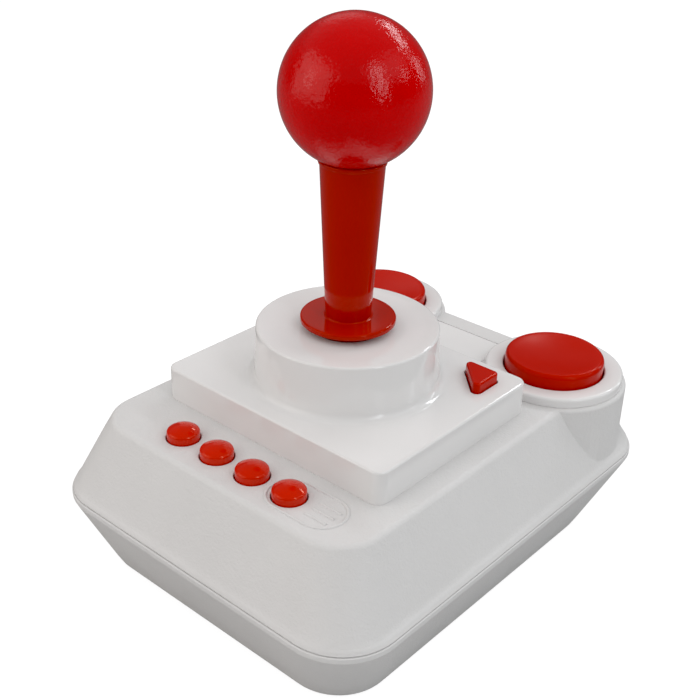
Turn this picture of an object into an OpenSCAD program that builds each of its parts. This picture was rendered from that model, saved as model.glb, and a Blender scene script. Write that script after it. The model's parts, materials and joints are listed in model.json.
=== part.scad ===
// Free-standing one-player joystick controller: a sloped two-part case, a raised
// deck with a collar, a ball-topped stick on a two-axis gimbal with four
// microswitches, two round fire buttons, two triangular buttons and four small
// round buttons. Millimetres. Origin on the surface it stands on, under the
// middle of the case; +X is the player's right, +Y is away from the player.

/* [Case] */
// Width across the belt of the case
case_w = 103.4; // [102.4:0.2:106]
// Depth across the belt of the case
case_d = 129.4; // [128:0.2:133]
// Height of the flat top of the case
case_top = 42.6; // [41:0.2:44]
// Height of the lower edge of the belt
belt_z = 20.5; // [20:0.1:21]
// Wall thickness of the mouldings
wall = 2; // [1.6:0.1:2.2]

/* [Deck] */
// Width of the raised deck
deck_w = 71.4; // [70:0.2:73]
// Depth of the raised deck
deck_d = 58.4; // [57:0.2:60]
// Height of the top of the deck
deck_top = 51.4; // [50.6:0.2:52]
// Radius of the collar round the stick
collar_r = 22.9; // [22.5:0.1:24]
// Height of the top of the collar
collar_top = 65.5; // [65:0.1:65.6]

/* [Stick] */
// Distance of the stick in front of the middle of the case
stick_forward = 7.2; // [6.4:0.1:8]
// Radius of the ball knob
ball_r = 17.5; // [15:0.5:20]
// Height of the middle of the ball knob
ball_z = 123.9; // [120:0.1:130]
// Radius of the flange at the foot of the sleeve
flange_r = 11.9; // [11:0.1:12]
// Height of the top of the flange
flange_top = 68.15; // [68.1:0.05:69]
// Height of the gimbal's two axes
pivot_z = 56; // [55.8:0.1:56.2]

/* [Buttons] */
// Distance of each fire button from the middle line
fire_x = 30.3; // [29.8:0.1:30.8]
// Distance of the fire buttons behind the middle of the case
fire_y = 43.5; // [43:0.1:44]
// Radius of a fire button
fire_r = 13.15; // [12:0.05:13.2]
// Height of the top of a fire button
fire_top = 48.9; // [48:0.1:50]
// Length of the two short sides of a triangular button
triangle_leg = 10.8; // [10:0.1:11.2]
// Height of the top of a triangular button
triangle_top = 54.1; // [53.4:0.1:54.8]
// Radius of a small front button
small_r = 4.1; // [3.8:0.05:4.4]
// Spacing of the four small front buttons
small_pitch = 11.9; // [11.6:0.1:12]
// Distance of the small front buttons in front of the middle of the case
small_forward = 46.7; // [46:0.1:47]

/* [Hidden] */
$fn = 96;
hull_fn = 32;   // facets on the children of a hull
slice_t = 0.02; // thickness of the thin slices that a hull joins
stick_y = -stick_forward;
small_y = -small_forward;
case_hw = case_w / 2;
case_hd = case_d / 2;

// Levels of the case, each [half width, front y, back y, corner radius, z]
foot_drop = 1;
bottom_level = [case_hw - 7.8, -case_hd + 8.2, case_hd - 13.4, 13.4, foot_drop];
belt_level = [case_hw, -case_hd, case_hd, 15.7, belt_z];
lip_top = belt_z + 1.4;
seam = 0.4;
skirt_level = [case_hw - 0.3, -case_hd + 0.4, case_hd - 0.4, 15.3, lip_top + seam];
slope_level = [case_hw - 1.7, -case_hd + 1.4, case_hd - 1.5, 13.6, lip_top + seam + 1.5];
top_level = [case_hw - 9.7, -case_hd + 9.4, case_hd - 10.9, 11, case_top];
top_edge = 0.8; // rounding of the edge of the flat top
floor_t = 2.2;
floor_z = foot_drop + floor_t;

// Screws and their posts
screw_r = 1.25;
screw_xy = [[37.5, -34], [37.5, 18]];
post_r = 3.5;
post_z = 12.6;
deck_boss_xy = [[30.3, -31], [30.3, -2]];
foot_xy = [[35, -47.5], [35, 42.5]];
foot_r = 5;
foot_recess = 0.8;

// Turrets that carry the fire buttons
turret_r = 19.5;
bezel_r = 18.4;
bezel_top = 45.1;
bezel_bore_r = 13.5;
bezel_sleeve_r = 15;
bezel_sleeve_z = 38.2;

// Deck
deck_y = stick_y;
deck_back = deck_y + deck_d / 2;
deck_in = deck_top - wall;
collar_hole_r = 9;
collar_in_r = collar_r - wall;
tongue_w = 25.2;
tongue_back = 47.2;
tongue_t = 1;
opening = [54, 49.6]; // opening in the case top under the deck
opening_y = -5.2;

// Stick and gimbal
shaft_r = 4;
shaft_z = 20.5;
insert_r = 5;   // bore of the ball for its threaded insert
fit = 0.03;     // radial play of a part fixed on its shaft
running = 0.06; // radial play of a pin that turns
pin_r = 1.5;
frame_hw = 21.8;
frame_wall_r = 19;
frame_wall_in = 16.9;
ring_r = 15.6;
ring_in = 11.6;
ring_hh = 3.8;
hub_r = 10.2;
hub_hh = 3.6;
stack_xy = 18.6; // screws that hold the mechanism, from the stick's axis
stack_r = 2.8;
stack_hole_r = 1.5;
pivot_plate_z = 43.6;
pivot_plate_t = 2;
switch_plate_z = 35.6;
switch_plate_t = 2.4;
gate_z = 22.4;
gate_t = 2.2;
gate_hw = 7.2;
actuator_z = 27.4;
actuator_h = 6.8;
actuator_r = 7;
switch_tip = 9.7; // distance of a microswitch's plunger from the stick's axis

// Circuit boards
board_t = 1.6;
main_z = 6;
main_size = [64, 50];
main_y = 13;
main_hole_xy = [28, 21];
header_xy = [[0, -8], [0, 33], [16, 20]];
header_h = 6;
ribbon_t = 0.9;
ribbon_w = 12;
front_board_z = 33.4;
front_board_size = [58, 14];
front_screw_x = 26.2;
mat_size = [44, 13];
fire_board_z = 24.4;
fire_board_size = [84, 18];
fire_screw_x = 10;
deck_board_z = 43.2;
deck_screw_xy = [12, 17.5];
board_screw_r = 0.85;
board_hole_r = 1.1;

// Triangular button: its right-angled corner
triangle_corner = [30.5, 16.2];
triangle_r = 1.2; // rounding of its corners
triangle_tip = triangle_r * (1 + sqrt(2)); // sharp tip to its round corner's centre, along the leg
triangle_tips = [
    [-triangle_r, -triangle_r],
    [-triangle_leg + triangle_tip, -triangle_r],
    [-triangle_r, -triangle_leg + triangle_tip]
];
triangle_stem = 3.6; // stem from the right-angled corner, along both legs
small_top = case_top + 3.3;

// Cable inlet
inlet_z = 12;
inlet_bore_r = 2;
inlet_y = 50;
inlet_l = 11.5;

cream = [0.9, 0.89, 0.87];
gloss_white = [0.95, 0.94, 0.92];
red = [0.75, 0.02, 0.02];
dark = [0.15, 0.15, 0.16];
steel = [0.7, 0.71, 0.73];
board_green = [0.1, 0.35, 0.2];
brass = [0.8, 0.65, 0.3];
natural = [0.93, 0.92, 0.88];
black = [0.12, 0.12, 0.12];
rubber = [0.2, 0.2, 0.2];
grey = [0.6, 0.6, 0.62];
silicone = [0.8, 0.8, 0.8];

// Place of small front button i across the case
function small_x(i) = (i - 1.5) * small_pitch;

// ---- shapes that repeat ----

// Rectangle with true arcs at its corners, from x0,y0 to x1,y1
module round_rect(x0, y0, x1, y1, r) {
    translate([x0 + r, y0]) square([x1 - x0 - 2 * r, y1 - y0]);
    translate([x0, y0 + r]) square([x1 - x0, y1 - y0 - 2 * r]);
    for (x = [x0 + r, x1 - r], y = [y0 + r, y1 - r])
        translate([x, y]) circle(r);
}

// Outline of the case at a level, moved in by inset
module level_outline(l, inset = 0) {
    round_rect(-l[0] + inset, l[1] + inset, l[0] - inset, l[2] - inset, l[3] - inset);
}

// Thin slice of the case at a level, for a hull
module level_slice(l, inset = 0, dz = 0) {
    translate([0, 0, l[4] + dz]) linear_extrude(slice_t) level_outline(l, inset, $fn = hull_fn);
}

// Centred box with square edges, from z up
module box(w, d, z, h) {
    translate([-w / 2, -d / 2, z]) cube([w, d, h]);
}

// Ring or disc from z up
module ring(r, r_in, z, h) {
    translate([0, 0, z]) difference() {
        cylinder(r = r, h = h);
        if (r_in > 0) translate([0, 0, -1]) cylinder(r = r_in, h = h + 2);
    }
}

// Round cutter from z0 to z1
module hole(r, z0, z1) {
    translate([0, 0, z0]) cylinder(r = r, h = z1 - z0);
}

// Children at both mirrored sides
module both_sides() {
    children();
    mirror([1, 0, 0]) children();
}

// Children at the four corners of a square round the stick's axis
module at_stack() {
    for (x = [-stack_xy, stack_xy], y = [-stack_xy, stack_xy])
        translate([x, stick_y + y, 0]) children();
}

// Pan-head screw: head below, shank up from z
module screw(z, head_r, head_h, shank_r, shank_l) {
    translate([0, 0, z - head_h]) difference() {
        cylinder(r = head_r, h = head_h);
        box(head_r * 1.3, 0.6, -0.1, 0.8);
        box(0.6, head_r * 1.3, -0.1, 0.8);
    }
    translate([0, 0, z]) cylinder(r = shank_r, h = shank_l);
}

// Coil spring on the Z axis, from z0 to z1, as one swept tube
module coil(r, wire_r, z0, z1, turns, steps = 14, sides = 6) {
    n = turns * steps;
    pts = [for (i = [0 : n], k = [0 : sides - 1])
        let (a = 360 * i / steps, b = 360 * k / sides, q = r + wire_r * cos(b))
        [q * cos(a), q * sin(a),
         z0 + wire_r + (z1 - z0 - 2 * wire_r) * i / n + wire_r * sin(b)]];
    walls = [for (i = [0 : n - 1], k = [0 : sides - 1])
        let (k2 = (k + 1) % sides)
        [i * sides + k, (i + 1) * sides + k, (i + 1) * sides + k2, i * sides + k2]];
    first = [for (k = [0 : sides - 1]) k];
    last = [for (k = [sides - 1 : -1 : 0]) n * sides + k];
    polyhedron(pts, concat([first], walls, [last]));
}

// Flat strip of thickness t that follows points in the YZ plane
module ribbon(path, t, w) {
    rotate([90, 0, 90]) translate([0, 0, -w / 2]) linear_extrude(w)
        polygon(concat(path, [for (i = [len(path) - 1 : -1 : 0]) path[i] + [0, t]]));
}

// Right-angled triangle with round corners, grown by g, its right angle at the
// origin and pointing to +X and +Y
module triangle_outline(g = 0) {
    hull() for (p = triangle_tips) translate(p) circle(triangle_r + g, $fn = hull_fn);
}

// ---- case ----

module bottom_shell() {
    color(cream) difference() {
        union() {
            difference() {
                union() {
                    hull() {
                        level_slice(bottom_level, 0.7);
                        level_slice(bottom_level, -0.1, 0.7);
                        level_slice(belt_level, 0, -slice_t);
                    }
                    translate([0, 0, belt_z - slice_t])
                        linear_extrude(lip_top - belt_z + slice_t) level_outline(belt_level);
                }
                hull() {
                    level_slice(bottom_level, wall + 0.2 - 0.9, floor_t);
                    level_slice(belt_level, wall + 0.2, 0);
                }
                translate([0, 0, belt_z]) linear_extrude(5) level_outline(belt_level, wall + 0.2);
            }
            both_sides() for (p = screw_xy)
                translate([p[0], p[1], foot_drop + 1]) cylinder(r = post_r + 0.1, h = post_z - foot_drop - 1);
            both_sides() for (y = [-main_hole_xy[1], main_hole_xy[1]])
                translate([main_hole_xy[0], main_y + y, foot_drop + 1])
                    cylinder(r = 2.6, h = main_z - foot_drop - 1);
        }
        both_sides() for (p = screw_xy) translate([p[0], p[1], 0]) {
            hole(3.1, 0, 5.2);
            hole(1.7, 0, post_z + 5);
        }
        both_sides() for (p = foot_xy)
            translate([p[0], p[1], 0]) cylinder(r = foot_r + 0.1, h = foot_drop + foot_recess);
        both_sides() for (y = [-main_hole_xy[1], main_hole_xy[1]])
            translate([main_hole_xy[0], main_y + y, 0]) hole(board_screw_r, floor_z, main_z + 1);
        translate([0, inlet_y - 6, inlet_z]) rotate([-90, 0, 0]) cylinder(r = 4 + fit, h = 30);
    }
}

module top_shell() {
    color(cream) difference() {
        union() {
            difference() {
                union() {
                    hull() {
                        level_slice(skirt_level);
                        level_slice(skirt_level, 0.2, 0.8);
                        level_slice(slope_level);
                    }
                    hull() {
                        level_slice(slope_level);
                        level_slice(top_level, -0.25, -top_edge);
                        level_slice(top_level, 0.05, -0.2);
                        level_slice(top_level, top_edge, -slice_t);
                    }
                    both_sides() translate([fire_x, fire_y, slope_level[4] - 0.4])
                        cylinder(r = turret_r, h = case_top - slope_level[4] + 0.4);
                }
                hull() {
                    level_slice(slope_level, wall, -2);
                    level_slice(top_level, wall, -wall - slice_t);
                }
                both_sides() translate([fire_x, fire_y, 20])
                    cylinder(r = turret_r - wall, h = case_top - wall - 20);
            }
            // rim that drops inside the bottom shell's wall
            difference() {
                translate([0, 0, lip_top - 1.2]) linear_extrude(2.2) level_outline(belt_level, 3);
                translate([0, 0, lip_top - 2]) linear_extrude(4) level_outline(belt_level, 4.3);
            }
            both_sides() for (p = screw_xy)
                translate([p[0], p[1], post_z]) cylinder(r = post_r, h = case_top - wall / 2 - post_z);
            both_sides() {
                translate([front_screw_x, small_y, front_board_z + board_t])
                    cylinder(r = 2.4, h = case_top - wall / 2 - front_board_z - board_t);
                translate([fire_screw_x, fire_y, fire_board_z + board_t])
                    cylinder(r = 2.6, h = case_top - 1.6 - fire_board_z - board_t);
            }
        }
        translate([0, opening_y, 0]) box(opening[0], opening[1], case_top - 5, 10);
        translate([0, 0, case_top - tongue_t]) linear_extrude(5)
            round_rect(-tongue_w / 2 - 0.15, deck_back - 2, tongue_w / 2 + 0.15, tongue_back + 0.15, 0.5);
        both_sides() {
            translate([fire_x, fire_y, 0]) hole(bezel_sleeve_r + 0.1, case_top - 5, case_top + 5);
            for (p = deck_boss_xy) translate([p[0], p[1], 0]) hole(1.7, case_top - 5, case_top + 5);
            for (p = screw_xy) translate([p[0], p[1], 0]) hole(screw_r, post_z - 1, 35);
            translate([front_screw_x, small_y, 0]) hole(board_screw_r, front_board_z, 39);
            translate([fire_screw_x, fire_y, 0]) hole(board_screw_r, fire_board_z, 32);
        }
        for (i = [0 : 3]) translate([small_x(i), small_y, 0])
            hole(small_r + 0.25, case_top - 5, case_top + 5);
    }
}

module deck_cover() {
    x1 = deck_w / 2;
    y0 = deck_y - deck_d / 2;
    color(gloss_white) difference() {
        union() {
            difference() {
                union() {
                    translate([0, 0, case_top]) linear_extrude(deck_top - case_top)
                        round_rect(-x1, y0, x1, deck_back, 3);
                    translate([0, stick_y, 0]) collar_body();
                }
                translate([0, 0, case_top - 1]) linear_extrude(deck_in - case_top + 1)
                    round_rect(-x1 + wall, y0 + wall, x1 - wall, deck_back - wall, 1.2);
                translate([0, stick_y, deck_in - 1])
                    cylinder(r = collar_in_r, h = collar_top - wall - deck_in + 1);
            }
            translate([0, 0, case_top - tongue_t]) linear_extrude(tongue_t)
                round_rect(-tongue_w / 2, deck_back - 1.8, tongue_w / 2, tongue_back, 0.4);
            both_sides() {
                for (p = deck_boss_xy)
                    translate([p[0], p[1], case_top]) cylinder(r = 3, h = deck_in - case_top + 0.5);
                translate([deck_screw_xy[0], deck_screw_xy[1], deck_board_z + board_t])
                    cylinder(r = 2, h = deck_in - deck_board_z - board_t + 0.5);
            }
            at_stack() translate([0, 0, pivot_plate_z + pivot_plate_t])
                cylinder(r = 2.4, h = deck_in - pivot_plate_z - pivot_plate_t + 0.5);
        }
        translate([0, stick_y, 0]) hole(collar_hole_r, collar_top - 5, collar_top + 5);
        at_stack() hole(screw_r + fit, case_top - 1, deck_in);
        both_sides() {
            for (p = deck_boss_xy) translate([p[0], p[1], 0]) hole(screw_r + fit, case_top - 1, deck_in);
            translate([deck_screw_xy[0], deck_screw_xy[1], 0]) hole(board_screw_r, case_top, deck_in);
            translate([triangle_corner[0], triangle_corner[1], deck_in - 1])
                linear_extrude(5) triangle_outline(0.35);
        }
    }
}

// Solid of the collar: draft, rounded top edge, shallow dish and a fillet at the deck
module collar_body() {
    edge = 0.6;
    fillet = 2;
    foot_r = collar_r + 0.4;
    dish_in = 13.3;
    dish_out = 20.5;
    dish = 0.45;
    rotate_extrude() polygon(concat(
        [[0, deck_top - 1], [foot_r + fillet, deck_top - 1], [foot_r + fillet, deck_top]],
        [for (a = [0 : 15 : 90])
            [foot_r + fillet * (1 - sin(a)), deck_top + fillet * (1 - cos(a))]],
        [for (a = [0 : 15 : 90])
            [collar_r - edge * (1 - cos(a)), collar_top - edge * (1 - sin(a))]],
        [[dish_out, collar_top], [dish_in, collar_top - dish], [0, collar_top - dish]]));
}

module button_bezel() {
    edge = 0.7;
    color(gloss_white) translate([fire_x, fire_y, 0]) rotate_extrude() polygon(concat(
        [[bezel_bore_r, bezel_sleeve_z], [bezel_sleeve_r, bezel_sleeve_z],
         [bezel_sleeve_r, case_top], [bezel_r, case_top]],
        [for (a = [0 : 15 : 90])
            [bezel_r - edge * (1 - cos(a)), bezel_top - edge * (1 - sin(a))]],
        [[bezel_bore_r + 0.4, bezel_top], [bezel_bore_r, bezel_top - 0.4]]));
}
module button_bezel_left() mirror([1, 0, 0]) button_bezel();
module button_bezel_right() button_bezel();

// ---- fire buttons ----

module fire_button() {
    rim = 1.3;
    dish = 0.9;
    skirt = 1.6;
    crown_z = fire_top - 2.8;
    sphere_r = (pow(fire_r - rim, 2) + dish * dish) / (2 * dish);
    color(red) translate([fire_x, fire_y, 0]) difference() {
        union() {
            rotate_extrude() polygon(concat(
                [[0, crown_z], [fire_r - skirt, crown_z], [fire_r - skirt, 36.8],
                 [fire_r + 1.1, 36.8], [fire_r + 1.1, 38], [fire_r, 38]],
                [for (a = [0 : 15 : 90])
                    [fire_r - rim * (1 - cos(a)), fire_top - rim * (1 - sin(a))]],
                [[0, fire_top]]));
            translate([0, 0, 34.5]) cylinder(r = 2.6, h = crown_z - 34.5 + 0.5);
        }
        translate([0, 0, fire_top - dish + sphere_r]) sphere(r = sphere_r, $fn = 180);
    }
}
module fire_button_left() mirror([1, 0, 0]) fire_button();
module fire_button_right() fire_button();

module fire_button_spring() {
    color(steel) translate([fire_x, fire_y, 0])
        coil(6, 0.4, fire_board_z + board_t, fire_top - 2.8, 7);
}
module fire_button_spring_left() mirror([1, 0, 0]) fire_button_spring();
module fire_button_spring_right() fire_button_spring();

module fire_switch() {
    z = fire_board_z + board_t;
    color(dark) translate([fire_x, fire_y, 0]) {
        box(6, 6, z, 3.5);
        translate([0, 0, z + 3.5]) cylinder(r = 1.75, h = 2.4);
    }
}
module fire_switch_left() mirror([1, 0, 0]) fire_switch();
module fire_switch_right() fire_switch();

module fire_button_board() {
    color(board_green) translate([0, fire_y, 0]) difference() {
        box(fire_board_size[0], fire_board_size[1], fire_board_z, board_t);
        both_sides() translate([fire_screw_x, 0, fire_board_z - 1])
            cylinder(r = board_hole_r, h = board_t + 2);
    }
}

// ---- triangular buttons ----

module triangle_button() {
    chamfer = 0.5;
    flange_z = deck_in - 1.3;
    flange_t = 1.2;
    stem_r = 1.6;
    color(red) translate([triangle_corner[0], triangle_corner[1], 0]) {
        hull() for (p = triangle_tips) translate([p[0], p[1], flange_z + flange_t / 2]) {
            cylinder(r = triangle_r, h = triangle_top - chamfer - flange_z - flange_t / 2, $fn = hull_fn);
            cylinder(r = triangle_r - chamfer, h = triangle_top - flange_z - flange_t / 2, $fn = hull_fn);
        }
        hull() for (p = triangle_tips) translate([p[0], p[1], flange_z])
            cylinder(r = triangle_r + 0.9, h = flange_t, $fn = hull_fn);
        translate([-triangle_stem, -triangle_stem, 0]) hole(stem_r, deck_in - 2, flange_z + 0.5);
    }
}
module triangle_button_left() mirror([1, 0, 0]) triangle_button();
module triangle_button_right() triangle_button();

module triangle_switches() {
    z = deck_board_z + board_t;
    color(dark) both_sides()
        translate([triangle_corner[0] - triangle_stem, triangle_corner[1] - triangle_stem, 0]) {
            box(4.5, 4.5, z, 1);
            translate([0, 0, z + 1]) cylinder(r = 1.2, h = 0.5);
        }
}

module deck_button_board() {
    y1 = deck_back - wall - 0.4;
    x1 = deck_w / 2 - wall - 0.4;
    color(board_green) difference() {
        union() {
            translate([-x1, y1 - 4, deck_board_z]) cube([2 * x1, 4, board_t]);
            both_sides() translate([23, 5, deck_board_z]) cube([x1 - 23, y1 - 5, board_t]);
        }
        both_sides() translate([deck_screw_xy[0], deck_screw_xy[1], deck_board_z - 1])
            cylinder(r = board_hole_r, h = board_t + 2);
    }
}

// ---- small front buttons ----

module front_button(i) {
    flange_z = case_top - wall - 1.3;
    dome_r = 6.7;
    shoulder = 0.7;
    shoulder_z = small_top - 1.7;
    color(red) translate([small_x(i), small_y, 0]) {
        translate([0, 0, flange_z]) cylinder(r = small_r + 0.9, h = 1.1);
        translate([0, 0, flange_z - 1]) cylinder(r = 2, h = 1.5);
        intersection() {
            rotate_extrude() polygon(concat(
                [[0, flange_z + 0.5], [small_r, flange_z + 0.5]],
                [for (a = [0 : 15 : 90])
                    [small_r - shoulder * (1 - cos(a)), shoulder_z + shoulder * sin(a)]],
                [[small_r - shoulder, small_top], [0, small_top]]));
            translate([0, 0, small_top - dome_r]) sphere(r = dome_r);
        }
    }
}
module front_button_1() front_button(0);
module front_button_2() front_button(1);
module front_button_3() front_button(2);
module front_button_4() front_button(3);

module keypad_mat() {
    z = front_board_z + board_t;
    mat_t = 1;
    color(silicone) translate([0, small_y, 0]) {
        box(mat_size[0], mat_size[1], z, mat_t);
        for (i = [0 : 3]) translate([small_x(i), 0, z + mat_t])
            cylinder(r1 = 3.4, r2 = 2.4, h = 1.3);
    }
}

module front_button_board() {
    color(board_green) translate([0, small_y, 0]) difference() {
        box(front_board_size[0], front_board_size[1], front_board_z, board_t);
        both_sides() translate([front_screw_x, 0, front_board_z - 1])
            cylinder(r = board_hole_r, h = board_t + 2);
    }
}

// ---- stick ----

module ball_knob() {
    color(red) translate([0, stick_y, ball_z]) difference() {
        sphere(r = ball_r, $fn = 160);
        hole(insert_r, -ball_r - 1, 5);
    }
}

module knob_insert() {
    color(brass) translate([0, stick_y, ball_z]) ring(insert_r - fit, shaft_r + fit, -4.4, 9);
}

module stick_sleeve() {
    flange_t = 1.45;
    rim = 0.5;
    foot = 0.3;
    boss_r = 7.5;
    fillet = 0.5;
    boss_z = pivot_z + hub_hh + 0.1;
    neck_r = 5.7;
    head_r = 8;
    head_z = ball_z - 15.9;
    seat_r = ball_r + 0.05;
    color(red) translate([0, stick_y, 0]) difference() {
        rotate_extrude() polygon(concat(
            [[shaft_r + fit, boss_z], [boss_r, boss_z], [boss_r, flange_top - flange_t]],
            [for (a = [-90 : 30 : 0])
                [flange_r - foot * (1 - cos(a)), flange_top - flange_t + foot * (1 + sin(a))]],
            [for (a = [0 : 15 : 90])
                [flange_r - rim * (1 - cos(a)), flange_top - rim * (1 - sin(a))]],
            [for (a = [0 : 30 : 90])
                [neck_r + fillet * (1 - sin(a)), flange_top + fillet * (1 - cos(a))]],
            [[head_r, head_z], [shaft_r + fit, head_z]]));
        translate([0, 0, ball_z]) sphere(r = seat_r, $fn = 160);
    }
}

module stick_shaft() {
    groove_z = actuator_z - 1;
    color(steel) translate([0, stick_y, 0]) difference() {
        hole(shaft_r, shaft_z, ball_z + 3.6);
        translate([0, 0, groove_z]) ring(shaft_r + 1, 3, 0, 0.8);
    }
}

module stick_hub() {
    color(dark) translate([0, stick_y, pivot_z]) difference() {
        ring(hub_r, shaft_r + fit, -hub_hh, 2 * hub_hh);
        for (s = [-1, 1]) translate([0, s * 7.2, 0]) rotate([-90 * s, 0, 0])
            cylinder(r = pin_r + running, h = 10);
    }
}

module gimbal_ring() {
    color(dark) translate([0, stick_y, pivot_z]) difference() {
        ring(ring_r, ring_in, -ring_hh, 2 * ring_hh);
        rotate([90, 0, 0]) cylinder(r = pin_r + fit, h = 60, center = true);
        rotate([0, 90, 0]) cylinder(r = pin_r + running, h = 60, center = true);
    }
}

module inner_pivot_pins() {
    color(steel) translate([0, stick_y, pivot_z])
        for (s = [-1, 1]) rotate([-90 * s, 0, 0]) translate([0, 0, 7.5]) cylinder(r = pin_r, h = 7.9);
}

module outer_pivot_pins() {
    color(steel) translate([0, stick_y, pivot_z])
        for (s = [-1, 1]) rotate([0, 90 * s, 0]) translate([0, 0, 12]) cylinder(r = pin_r, h = 6.9);
}

module pivot_frame() {
    color(dark) translate([0, stick_y, 0]) difference() {
        union() {
            box(2 * frame_hw, 2 * frame_hw, pivot_plate_z, pivot_plate_t);
            translate([0, 0, pivot_plate_z]) cylinder(r = frame_wall_r, h = 60 - pivot_plate_z);
        }
        hole(13, pivot_plate_z - 1, pivot_z);
        hole(frame_wall_in, pivot_plate_z + pivot_plate_t, pivot_z + 10);
        for (x = [-stack_xy, stack_xy], y = [-stack_xy, stack_xy])
            translate([x, y, 0]) hole(stack_hole_r, pivot_plate_z - 1, pivot_z);
        translate([0, 0, pivot_z]) rotate([0, 90, 0]) cylinder(r = pin_r + fit, h = 60, center = true);
    }
}

module centring_spring() {
    color(steel) translate([0, stick_y, 0])
        coil(8.6, 0.6, switch_plate_z + switch_plate_t, pivot_z - hub_hh, 5);
}

// ---- switch unit under the stick ----

module switch_frame() {
    color(dark) translate([0, stick_y, 0]) difference() {
        union() {
            box(2 * frame_hw, 2 * frame_hw, switch_plate_z, switch_plate_t);
            for (x = [-stack_xy, stack_xy], y = [-stack_xy, stack_xy])
                translate([x, y, switch_plate_z])
                    cylinder(r = stack_r, h = pivot_plate_z - switch_plate_z);
        }
        hole(7.5, switch_plate_z - 1, switch_plate_z + switch_plate_t + 1);
        for (x = [-stack_xy, stack_xy], y = [-stack_xy, stack_xy])
            translate([x, y, 0]) hole(stack_hole_r, switch_plate_z - 1, pivot_plate_z + 1);
    }
}

// Microswitch whose plunger points to the stick, turned by a
module microswitch(a) {
    z0 = 28.8;
    h = 6.4;
    face = switch_tip + 1.2;
    translate([0, stick_y, 0]) rotate(a) {
        color(black) difference() {
            translate([face, -9.9, z0]) cube([10.2, 19.8, h]);
            for (y = [-4.75, 4.75]) translate([face + 7.4, y, z0 - 1]) cylinder(r = 1.2, h = 10);
        }
        color(red) translate([switch_tip, -1.2, z0 + 1.6]) cube([1.3, 2.4, 3.2]);
        color(steel) for (y = [-8, 0, 8]) translate([face + 10, y - 1.6, z0 + 3]) cube([4, 3.2, 0.5]);
    }
}
module microswitch_right() microswitch(0);
module microswitch_back() microswitch(90);
module microswitch_left() microswitch(180);
module microswitch_front() microswitch(270);

module actuator() {
    color(natural) translate([0, stick_y, actuator_z]) difference() {
        cylinder(r = actuator_r, h = actuator_h);
        translate([0, 0, -1]) cylinder(r = shaft_r + fit, h = 20);
    }
}

module e_clip() {
    color(steel) translate([0, stick_y, actuator_z - 0.95]) difference() {
        cylinder(r = 5.2, h = 0.7);
        translate([0, 0, -1]) cylinder(r = 3 + fit, h = 3);
        translate([-2.4, 0, -1]) cube([4.8, 10, 3]);
    }
}

module restrictor_plate() {
    color(dark) translate([0, stick_y, 0]) difference() {
        union() {
            box(2 * frame_hw, 2 * frame_hw, gate_z, gate_t);
            for (x = [-stack_xy, stack_xy], y = [-stack_xy, stack_xy])
                translate([x, y, gate_z]) cylinder(r = stack_r, h = switch_plate_z - gate_z);
        }
        box(2 * gate_hw, 2 * gate_hw, gate_z - 1, gate_t + 2);
        for (x = [-stack_xy, stack_xy], y = [-stack_xy, stack_xy])
            translate([x, y, 0]) hole(stack_hole_r, gate_z - 1, switch_plate_z + 1);
    }
}

module frame_screws() {
    color(steel) at_stack() screw(gate_z, 2.6, 1.8, screw_r, 26.5);
}

// ---- electronics ----

module main_board() {
    color(board_green) translate([0, main_y, 0]) difference() {
        box(main_size[0], main_size[1], main_z, board_t);
        both_sides() for (y = [-main_hole_xy[1], main_hole_xy[1]])
            translate([main_hole_xy[0], y, 0]) hole(board_hole_r, main_z - 1, main_z + board_t + 1);
    }
}

module controller_chip() {
    z = main_z + board_t;
    color(dark) translate([-12, main_y + 6, 0]) {
        box(7, 7, z + 0.1, 1.1);
        for (a = [0, 90], i = [-2 : 2]) rotate(a) translate([0, i * 1.2, 0]) box(9, 0.5, z, 0.25);
    }
}

module board_headers() {
    z = main_z + board_t;
    shroud_t = 0.8;
    color(natural) for (p = header_xy) translate([p[0], p[1], 0]) difference() {
        box(ribbon_w + 4, 5, z, header_h);
        box(ribbon_w + 4 - 2 * shroud_t, 5 - 2 * shroud_t, z + 1.5, header_h);
    }
}

// Plug of a ribbon in header i, up to the strip above the shroud
module ribbon_plug(i) {
    z = main_z + board_t;
    translate([header_xy[i][0], header_xy[i][1], 0])
        box(ribbon_w, 3, z + 1.7, header_h - 1.7 + 0.4 + ribbon_t);
}

// Ribbon from the front board's underside to the main board's front header
module front_ribbon() {
    top = main_z + board_t + header_h + 0.4;
    color(grey) {
        ribbon([[-43, front_board_z - ribbon_t], [-38, 31.6], [-34.5, 27], [-31.5, 20],
            [-26, 16], [-18, top + 0.4], [-11, top], [header_xy[0][1] + 1.4, top]], ribbon_t, ribbon_w);
        ribbon_plug(0);
    }
}

// Ribbon from the fire button board's underside to the main board's rear header
module rear_ribbon() {
    top = main_z + board_t + header_h + 0.4;
    color(grey) {
        ribbon([[47, fire_board_z - ribbon_t], [42.5, 22.8], [40, 20.4], [38, 17],
            [35.4, top], [header_xy[1][1] - 1.4, top]], ribbon_t, ribbon_w);
        ribbon_plug(1);
    }
}

// ---- fasteners, feet and inlet ----

module board_screw(l) {
    screw(0, 1.8, 1.2, board_screw_r, l);
}
module board_screws() {
    color(steel) {
        both_sides() {
            translate([front_screw_x, small_y, front_board_z]) board_screw(5);
            translate([fire_screw_x, fire_y, fire_board_z]) board_screw(6);
            translate([deck_screw_xy[0], deck_screw_xy[1], deck_board_z]) board_screw(5);
            for (y = [-main_hole_xy[1], main_hole_xy[1]])
                translate([main_hole_xy[0], main_y + y, main_z + board_t]) mirror([0, 0, 1]) board_screw(4);
        }
    }
}

module deck_screws() {
    color(steel) both_sides() for (p = deck_boss_xy)
        translate([p[0], p[1], 0]) screw(case_top - wall, 2.6, 1.8, screw_r, 7.5);
}

module case_screws() {
    color(steel) both_sides() for (p = screw_xy)
        translate([p[0], p[1], 0]) screw(5.2, 2.7, 2, screw_r, 15);
}

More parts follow.
